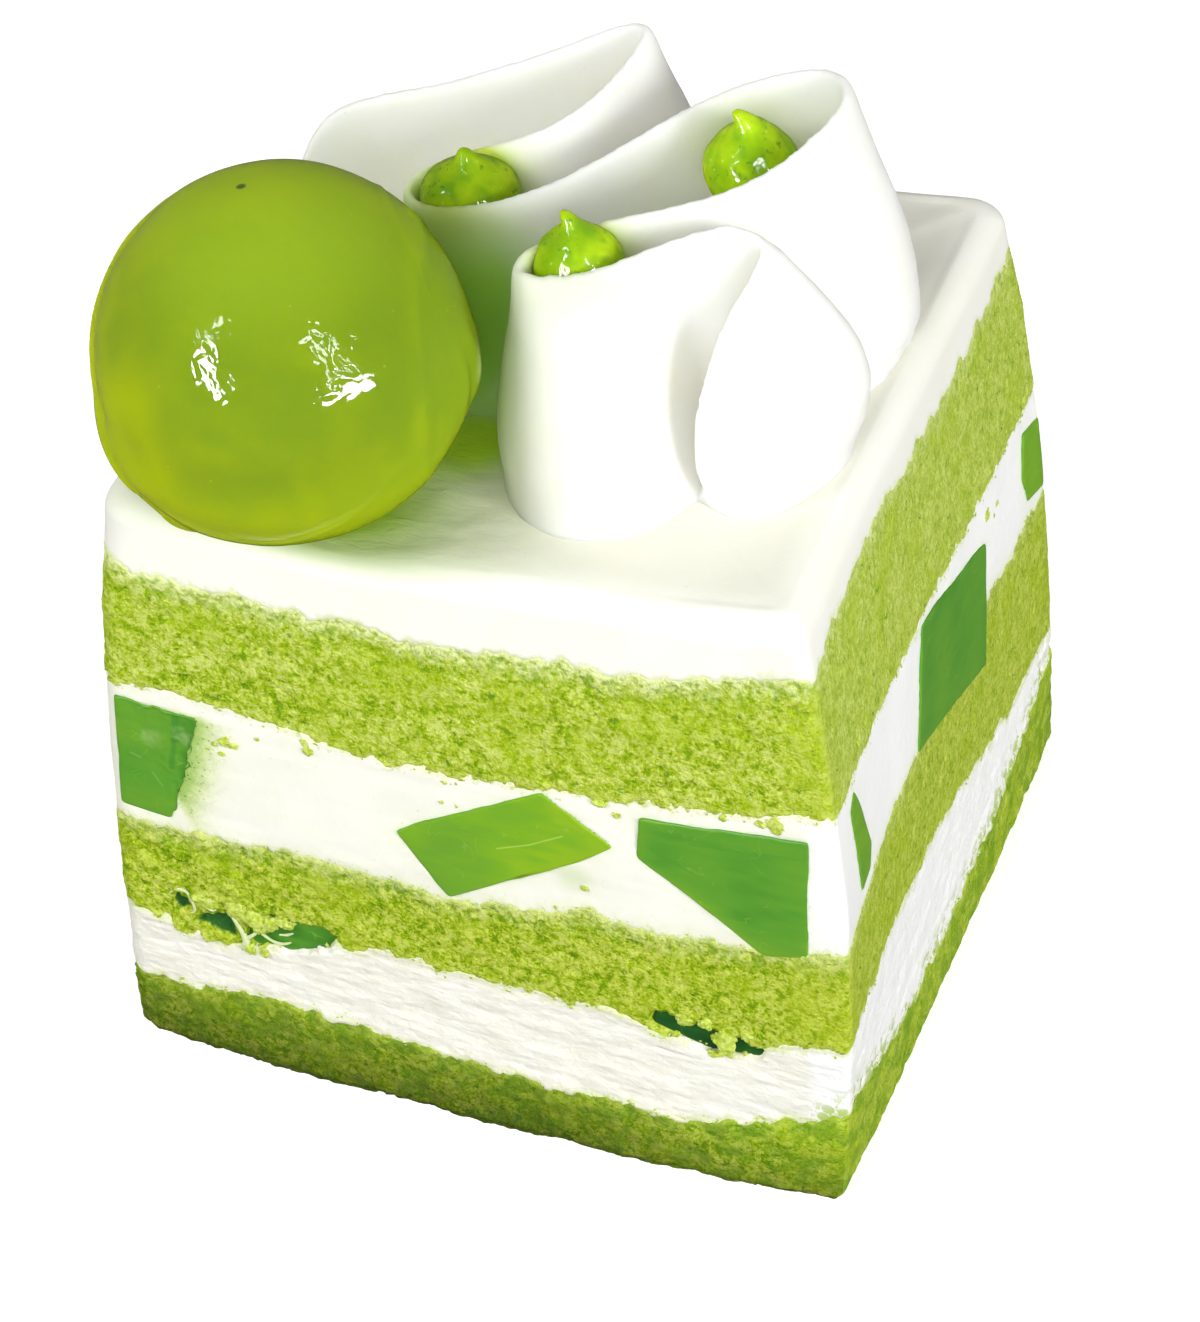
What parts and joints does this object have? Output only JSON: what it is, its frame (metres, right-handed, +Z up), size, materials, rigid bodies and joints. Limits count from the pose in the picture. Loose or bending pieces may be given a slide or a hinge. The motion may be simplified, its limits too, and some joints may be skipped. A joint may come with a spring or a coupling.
{
  "type": "cream shortcake",
  "caption": "Square-cut slice of green sponge cake with cream and jelly cubes between its layers, topped with cream, a glazed melon ball, a piped cream ribbon and gel drops.",
  "frame": {"origin": "on the ground at the middle of the slice's foot", "axes": "+Z up, -Y out of the front cut face, which is the one with the ball above its left end, +X out of the right cut face"},
  "size_m": [0.0669, 0.0665, 0.0896],
  "materials": {
    "sponge_base": "matte",
    "sponge": "matte",
    "filling_cream": "matte",
    "top_cream": "satin",
    "piped_cream": "satin",
    "glazed_melon": "gloss",
    "gel": "gloss",
    "jelly": "gloss"
  },
  "bodies": {
    "root": {"sponge_bottom": "sponge_base", "cream_lower": "filling_cream", "sponge_middle": "sponge", "cream_middle": "filling_cream", "sponge_top": "sponge", "cream_top": "top_cream", "cream_ribbon": "piped_cream", "melon_ball": "glazed_melon", "gel_drop_back": "gel", "gel_drop_front": "gel", "gel_drop_right": "gel", "jelly_front_left": "jelly", "jelly_front_middle": "jelly", "jelly_front_right": "jelly", "jelly_right_near": "jelly", "jelly_right_middle": "jelly", "jelly_right_far": "jelly", "jelly_low_left": "jelly", "jelly_low_right": "jelly"}
  },
  "joints": []
}
